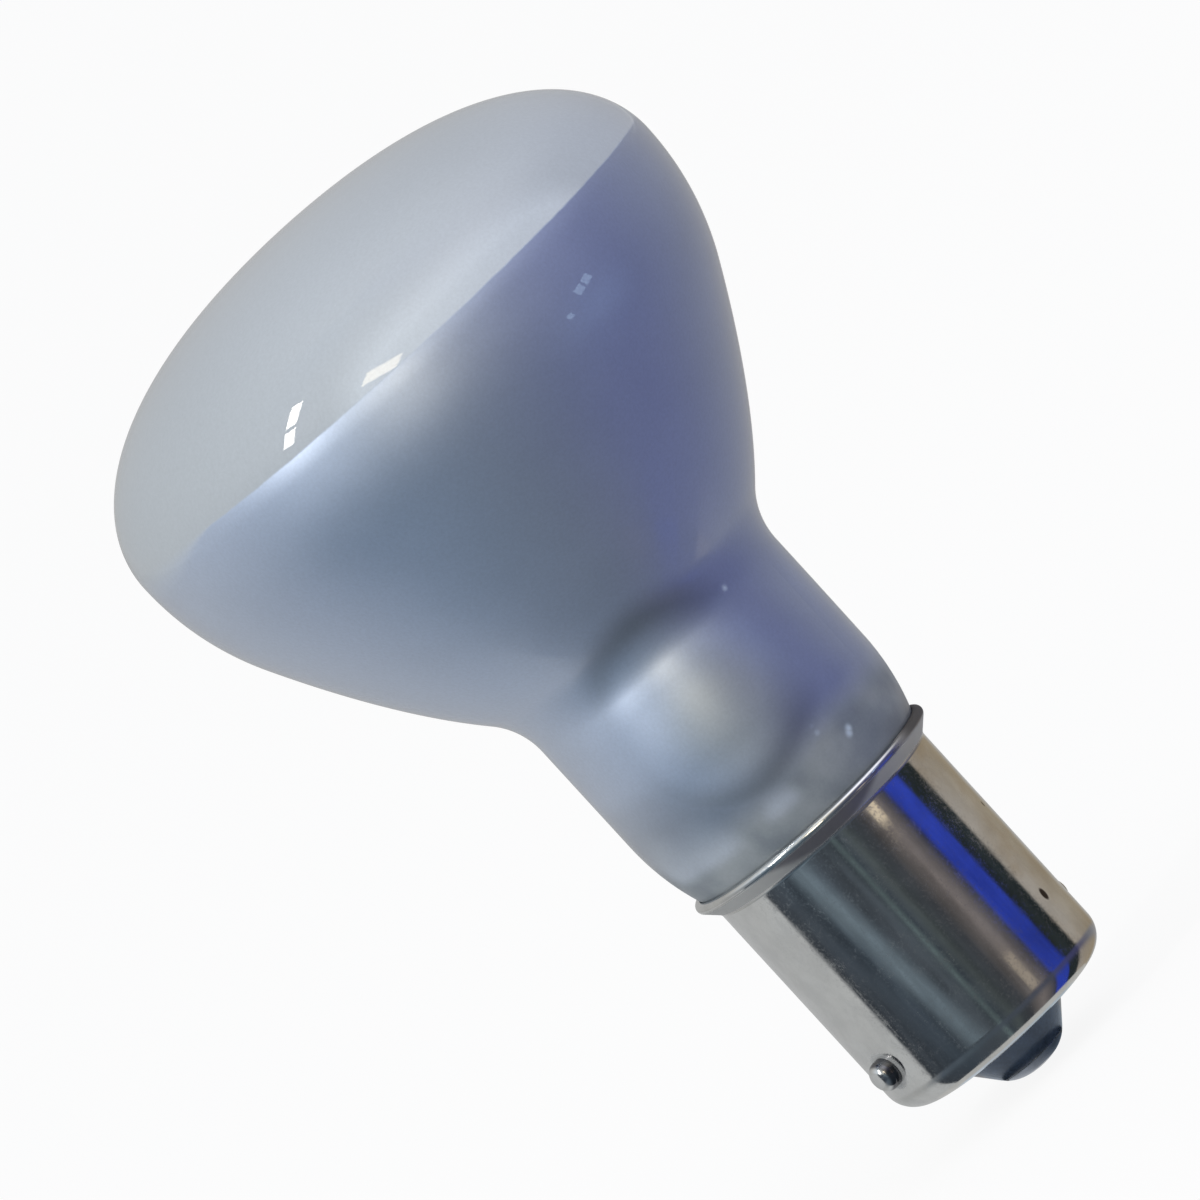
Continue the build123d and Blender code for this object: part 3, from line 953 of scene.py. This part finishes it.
class LAMP_OT_contact(bpy.types.Operator):
    """Makes the insulator and the soldered contact in it"""

    bl_idname = "lamp.contact"
    bl_label = "Insulator and contact"

    def execute(self, context):
        shape, finish = context.scene.lamp_shape, context.scene.lamp_finish
        points, faces = turned(insulator_profile(shape), 128)
        make_piece("insulator_cone", points, faces, insulator_material(finish), ["insulator"])
        points, faces = turned(contact_profile(shape), 96)
        make_piece("contact_dome", points, faces, solder_material(finish), ["contact_eyelet"])
        return {"FINISHED"}


class LAMP_OT_inside(bpy.types.Operator):
    """Finishes the cement and the lead wires inside the cap"""

    bl_idname = "lamp.inside"
    bl_label = "Inside of the cap"

    def execute(self, context):
        finish = context.scene.lamp_finish
        cement, wire = cement_material(finish), wire_material(finish)
        for name, material in (("basing_cement", cement), ("contact_lead", wire), ("shell_lead", wire)):
            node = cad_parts[name]
            if not node.material_slots:
                node.data.materials.append(None)
            for slot in node.material_slots:
                slot.material = material
        return {"FINISHED"}


class LAMP_OT_stage(bpy.types.Operator):
    """Sets the camera, the floor and the light"""

    bl_idname = "lamp.stage"
    bl_label = "Stage"

    def execute(self, context):
        scene, stage = context.scene, context.scene.lamp_stage
        right = Vector((math.cos(stage.azimuth), math.sin(stage.azimuth), 0))
        front = Vector((math.sin(stage.azimuth), -math.cos(stage.azimuth), 0))
        self.camera(scene, stage, right, front)
        self.floor(stage)
        self.dim_sheet(scene.lamp_shape, right, front)
        self.cap_screen(scene.lamp_shape, right, front)
        self.panes(stage, right, front)
        self.side_pane(right, front)
        self.world(scene, right, front)
        scene.view_settings.view_transform = "Standard"
        return {"FINISHED"}

    def camera(self, scene, stage, right, front):
        """Long lens that looks at a point near the axis and leans by the roll."""
        back = front * math.cos(stage.elevation) + Vector((0, 0, math.sin(stage.elevation)))
        target = Vector((0, 0, stage.aim_height)) - right * stage.aim_left
        data = bpy.data.cameras.new("camera")
        data.lens, data.sensor_width = stage.focal_length, 36.0
        camera = bpy.data.objects.new("camera", data)
        scene.collection.objects.link(camera)
        camera.location = target + back * stage.distance
        camera.rotation_mode = "QUATERNION"
        camera.rotation_quaternion = (-back).to_track_quat("-Z", "Y") @ Quaternion((0, 0, 1), -stage.roll)
        scene.camera = camera

    def floor(self, stage):
        """Pale floor that takes the lamp's shadow and is nearly white to the camera and in gloss."""
        corners = np.array([(-1, -1, 0), (1, -1, 0), (1, 1, 0), (-1, 1, 0)]) * FLOOR_REACH
        floor = self.plain_mesh("floor", corners, [(0, 1, 2, 3)])
        material, tree, shader, _ = new_material("pale_floor")
        output = next(node for node in tree.nodes if node.type == "OUTPUT_MATERIAL")
        fill(tree, shader, {"Base Color": (*stage.floor, 1), "Roughness": 0.9, "Specular IOR Level": 0.0})
        path = add(tree, "LightPath").outputs
        seen = calc(tree, "MAXIMUM", path["Is Camera Ray"], path["Is Glossy Ray"])
        seen = calc(tree, "MAXIMUM", seen, path["Is Transmission Ray"])
        seen = calc(tree, "MULTIPLY", seen, 0.9)
        white = add(tree, "Emission", {"Color": (1, 1, 1, 1), "Strength": 1.0})
        lit = add(tree, "MixShader", {0: seen, 1: shader.outputs[0], 2: white.outputs[0]})
        tree.links.new(lit.outputs[0], output.inputs["Surface"])
        floor.data.materials.append(material)

    def dim_sheet(self, shape, right, front):
        """Dim sheet just over the floor, from 1 mm to its edge, which only gloss shows.

        Near the lamp it has the shades that the cap's bottom and the bowl mirror, and farther off the room's.
        """
        columns = 96
        angle = np.linspace(0, 2 * np.pi, columns, endpoint=False)
        span = np.stack([np.cos(angle), np.sin(angle), 0 * angle], axis=1)
        points = np.concatenate([FLOOR_REACH * span, MM * span]) + np.array((0, 0, 0.2 * MM))
        sheet = self.plain_mesh("dim_sheet", points, grid_faces(2, columns, False).tolist())
        material, tree, surface, place = stage_material("dim_sheet")
        radius = away(tree, place, (0, 0, 0))
        cap = shape.shell_diameter / 2
        gain = calc(tree, "MULTIPLY_ADD", calc(tree, "DIVIDE", cap, radius, clamp=True), 0.5, 1.0)
        shade = self.surround(tree, place, right, front, CAP_VIEW, gain)
        near = self.surround(tree, place, right, front, NEAR_FLOOR)
        inside = step(tree, radius, 10 * MM, 15 * MM, 0.0, 0.85)
        inside = product(tree, inside, step(tree, radius, 25 * MM, 17 * MM))
        beyond = step(tree, radius, 26 * MM, 27 * MM, 0.0, 0.7)
        shade = tint(tree, calc(tree, "MAXIMUM", inside, beyond), shade, near)
        room = self.surround(tree, place, right, front, ROOM_VIEW)
        shade = tint(tree, step(tree, radius, 28 * MM, 42 * MM), shade, room)
        # Under the cap it is pale, with the contact's own shadow, and paler on the left
        leftward = along(tree, place, -right)
        pale = tint(tree, step(tree, leftward, -4 * MM, 4 * MM), (0.54, 0.62, 0.70), (0.66, 0.73, 0.82))
        pale = tint(tree, step(tree, radius, 4.6 * MM, 5.2 * MM), pale, (0.64, 0.64, 0.63))
        shade = tint(tree, step(tree, radius, 7.1 * MM, 6.7 * MM), shade, pale)
        shade = tint(tree, step(tree, radius, 2.95 * MM, 2.75 * MM), shade, (0.015, 0.02, 0.025))
        below = tint(tree, step(tree, leftward, -1.5 * MM, 1.5 * MM), (0.15, 0.19, 0.25), (0.80, 0.83, 0.88))
        shade = tint(tree, step(tree, radius, 2.4 * MM, 2.25 * MM), shade, below)
        glow = add(tree, "Emission", {"Color": shade, "Strength": 0.9})
        tree.links.new(glow.outputs[0], surface)
        sheet.data.materials.append(material)
        self.gloss_only(sheet)

    def cap_screen(self, shape, right, front):
        """Low ring round the cap with what its wall mirrors, which only gloss shows.

        A wall point at the angle a mirrors the bearing 2a far off, and on a ring of the radius r about the
        bearing (2 - cap radius / r) x a, so the ring's own bearing counts 2 / (2 - cap radius / r) times.
        """
        ring, foot, top, columns = 26 * MM, 0.25 * MM, 16.8 * MM, 180
        angle = np.linspace(0, 2 * np.pi, columns, endpoint=False)
        span = np.stack([ring * np.cos(angle), ring * np.sin(angle)], axis=1)
        points = np.concatenate([np.insert(span, 2, foot, axis=1), np.insert(span, 2, top, axis=1)])
        screen = self.plain_mesh("cap_screen", points, grid_faces(2, columns, False).tolist())
        material, tree, surface, place = stage_material("cap_screen")
        gain = 2 / (2 - shape.shell_diameter / 2 / ring)
        shade = self.surround(tree, place, right, front, CAP_VIEW, gain)
        # A pale streak that leans left on its way up; its bearing is -0.55 at the height of 10 mm
        height = along(tree, place, UP)
        bearing = calc(tree, "ARCTAN2", along(tree, place, right), along(tree, place, front))
        lean = 18.0
        off = calc(tree, "ADD", bearing, calc(tree, "MULTIPLY_ADD", height, lean, 0.55 - lean * 10 * MM))
        shade = tint(tree, step(tree, calc(tree, "ABSOLUTE", off), 0.24, 0.0), shade, (0.21, 0.27, 0.32))
        # Cream glints at the top and at the foot of the brown streak
        bearing, wide, narrow = (math.radians(degrees) for degrees in (35, 5, 3))
        way = math.cos(bearing) * front + math.sin(bearing) * right
        glint = step(tree, along(tree, place, way), ring * math.cos(wide), ring * math.cos(narrow))
        high = step(tree, height, 14.4 * MM, 14.8 * MM)
        low = step(tree, height, 4.5 * MM, 4.0 * MM, 0.0, 0.3)
        glint = product(tree, glint, calc(tree, "MAXIMUM", high, low))
        shade = tint(tree, glint, shade, (0.95, 0.80, 0.60))
        # The ring's dark part is uneven
        plain = 0.92
        patchy = noise(tree, mapped(tree, place, (1, 1, 0.5)), 210.0, 4.0, 0.6)
        patchy = step(tree, patchy, 0.32, 0.68, 0.70, 1.15)
        pale = step(tree, add(tree, "RGBToBW", {0: shade}).outputs[0], 0.25, 0.40)
        strength = calc(tree, "MULTIPLY_ADD", calc(tree, "SUBTRACT", plain, patchy), pale, patchy)
        glow = add(tree, "Emission", {"Color": shade, "Strength": strength})
        # The ring is clear to the glass, which looks down on it more steeply than the cap's wall does
        steep = step(tree, add(tree, "LayerWeight", {"Blend": 0.5}).outputs["Facing"], 0.05, 0.12)
        clear = add(tree, "BsdfTransparent")
        shown = add(tree, "MixShader", {0: steep, 1: glow.outputs[0], 2: clear.outputs[0]})
        tree.links.new(shown.outputs[0], surface)
        screen.data.materials.append(material)
        self.gloss_only(screen)

    def plain_mesh(self, name, points, faces):
        """Mesh of the stage."""
        mesh = bpy.data.meshes.new(name)
        mesh.from_pydata(points, [], faces)
        thing = bpy.data.objects.new(name, mesh)
        bpy.context.scene.collection.objects.link(thing)
        return thing

    def panes(self, stage, right, front):
        """Window of two panes as the key, and a wide warm lamp over the camera."""
        middle = Vector((0, 0, 45 * MM))
        key = (-0.61 * right + 0.52 * front + 0.61 * UP).normalized()
        lean = (0.520 * right - 0.325 * front + 0.792 * UP).normalized()
        white, warm = (1.0, 0.96, 0.9), (1.0, 0.86, 0.62)
        both = 0.405
        for name, offset, tall in (("key_low", -0.1325, 0.185), ("key_high", 0.115, 0.22)):
            power = stage.key_power * tall / both
            self.pane(name, middle + key + lean * offset, middle, lean, 0.08, tall, power, white)
        way = (-0.11 * right + 0.91 * front + 0.41 * UP).normalized()
        lean = math.cos(0.55) * UP + math.sin(0.55) * right
        self.pane("warm_lamp", middle + way * 1.2, middle, lean, 0.33, 0.165, 1.35, warm)

    def side_pane(self, right, front):
        """Two faint bluish panes and a smaller one low on the right, which only gloss shows.

        Each is a parallelogram in a plane that faces the bowl: its centre, the start and the end of
        its long side and its width, as shares of the half sides.
        """
        middle = 46.1 * MM * right + 27.7 * MM * front + 38 * MM * UP
        bowl = 10.5 * MM * right + 15.3 * MM * front + 51.3 * MM * UP
        outward = (middle - bowl).normalized()
        side = outward.cross(front).normalized()
        tall = side.cross(outward)
        long_half, short_half = np.array((-1.52, -3.13)) * MM, np.array((0.92, -0.93)) * MM
        corners = []
        for centre, start, end, width in (
            ((0.3, 1.85), -1, -0.1, 1),
            ((0.3, 1.85), 0.1, 1, 1),
            ((6.9, 9.6), -0.3, 0.3, 0.7),
        ):
            lengthwise = np.outer((start, end, end, start), long_half)
            crosswise = np.outer((-width, -width, width, width), short_half)
            corners.append(np.array(centre) * MM + lengthwise + crosswise)
        flat = np.concatenate(corners)
        points = np.array(middle) + np.outer(flat[:, 0], side) + np.outer(flat[:, 1], tall)
        panes = self.plain_mesh("side_pane", points, np.arange(len(flat)).reshape(-1, 4).tolist())
        material, tree, surface, _ = stage_material("side_pane")
        glow = add(tree, "Emission", {"Color": (0.55, 0.75, 1.0, 1), "Strength": 3.4})
        tree.links.new(glow.outputs[0], surface)
        panes.data.materials.append(material)
        self.gloss_only(panes)

    def gloss_only(self, thing):
        """Leaves a thing of the stage to reflections alone."""
        for ray in ("camera", "diffuse", "shadow", "transmission"):
            setattr(thing, "visible_" + ray, False)

    def pane(self, name, place, target, upright, width, height, power, tone):
        """Rectangular lamp that faces the target, with its height along upright."""
        data = bpy.data.lights.new(name, "AREA")
        data.shape, data.size, data.size_y = "RECTANGLE", width, height
        data.energy, data.color = power, tone
        lamp = bpy.data.objects.new(name, data)
        bpy.context.scene.collection.objects.link(lamp)
        outward = (place - target).normalized()
        side = upright.cross(outward).normalized()
        axes = Matrix((side, outward.cross(side), outward)).transposed().to_4x4()
        lamp.matrix_world = Matrix.Translation(place) @ axes

    def surround(self, tree, vector, right, front, shades, gain=1.0):
        """Colour by a vector's bearing from the front, times the gain, on a ramp of bearings and shades."""
        bearing = calc(tree, "ARCTAN2", along(tree, vector, right), along(tree, vector, front))
        share = calc(tree, "MULTIPLY_ADD", calc(tree, "MULTIPLY", bearing, gain), 0.5 / math.pi, 0.5)
        ramp = add(tree, "ValToRGB", {0: share})
        stops = ramp.color_ramp.elements
        for degrees, shade in shades:
            place = degrees / 360 + 0.5
            stop = stops.new(place) if 0 < place < 1 else stops[0 if place <= 0 else -1]
            stop.color = (*shade, 1)
        return ramp.outputs[0]

    def world(self, scene, right, front):
        """Room, dim before the lamp and pale behind it, with soft light above, and white to the camera."""
        world = bpy.data.worlds.new("studio")
        world.use_nodes = True
        scene.world = world
        tree = world.node_tree
        background = next(node for node in tree.nodes if node.type == "BACKGROUND")
        ray = add(tree, "TexCoord").outputs["Generated"]
        sky = self.surround(tree, ray, right, front, ROOM_VIEW)
        for way, sharpness, low, shade in (
            (-0.70 * right + 0.46 * front + 0.55 * UP, 4.0, 0.12, (0.54, 0.565, 0.60)),
            (0.10 * right + 0.78 * front + 0.62 * UP, 6.0, 0.15, (0.37, 0.31, 0.19)),
            (0.56 * right + 0.26 * front + 0.79 * UP, 4.0, 0.40, (1.50, 1.54, 1.62)),
        ):
            above = step(tree, along(tree, ray, UP), low, low + 0.43)
            facing = calc(tree, "MAXIMUM", along(tree, ray, way.normalized()), 0.0)
            lobe = calc(tree, "MULTIPLY", calc(tree, "POWER", facing, sharpness), above)
            sky = tint(tree, lobe, sky, shade, "ADD")
        camera = add(tree, "LightPath").outputs["Is Camera Ray"]
        fill(tree, background, {"Color": tint(tree, camera, sky, (1.0, 1.0, 1.0)), "Strength": 1.0})


class LAMP_PT_panel(bpy.types.Panel):
    """Lists the pieces of the lamp"""

    bl_idname = "LAMP_PT_panel"
    bl_label = "Reflector lamp"
    bl_space_type = "VIEW_3D"
    bl_region_type = "UI"
    bl_category = "Lamp"

    def draw(self, context):
        for operator in OPERATORS:
            self.layout.operator(operator.bl_idname)
        for group in (context.scene.lamp_shape, context.scene.lamp_finish, context.scene.lamp_stage):
            box = self.layout.box()
            for key in group.bl_rna.properties.keys():
                if key not in {"rna_type", "name"}:
                    box.prop(group, key)


OPERATORS = (LAMP_OT_glass, LAMP_OT_shell, LAMP_OT_pins, LAMP_OT_contact, LAMP_OT_inside, LAMP_OT_stage)
GROUPS = (LampShape, LampFinish, LampStage)


def register():
    for part in (*GROUPS, *OPERATORS, LAMP_PT_panel):
        bpy.utils.register_class(part)
    bpy.types.Scene.lamp_shape = bpy.props.PointerProperty(type=LampShape)
    bpy.types.Scene.lamp_finish = bpy.props.PointerProperty(type=LampFinish)
    bpy.types.Scene.lamp_stage = bpy.props.PointerProperty(type=LampStage)


def unregister():
    del bpy.types.Scene.lamp_stage
    del bpy.types.Scene.lamp_finish
    del bpy.types.Scene.lamp_shape
    for part in reversed((*GROUPS, *OPERATORS, LAMP_PT_panel)):
        bpy.utils.unregister_class(part)


def main():
    register()
    bpy.ops.lamp.glass()
    bpy.ops.lamp.shell()
    bpy.ops.lamp.pins()
    bpy.ops.lamp.contact()
    bpy.ops.lamp.inside()
    bpy.ops.lamp.stage()


if __name__ == "__main__":
    main()
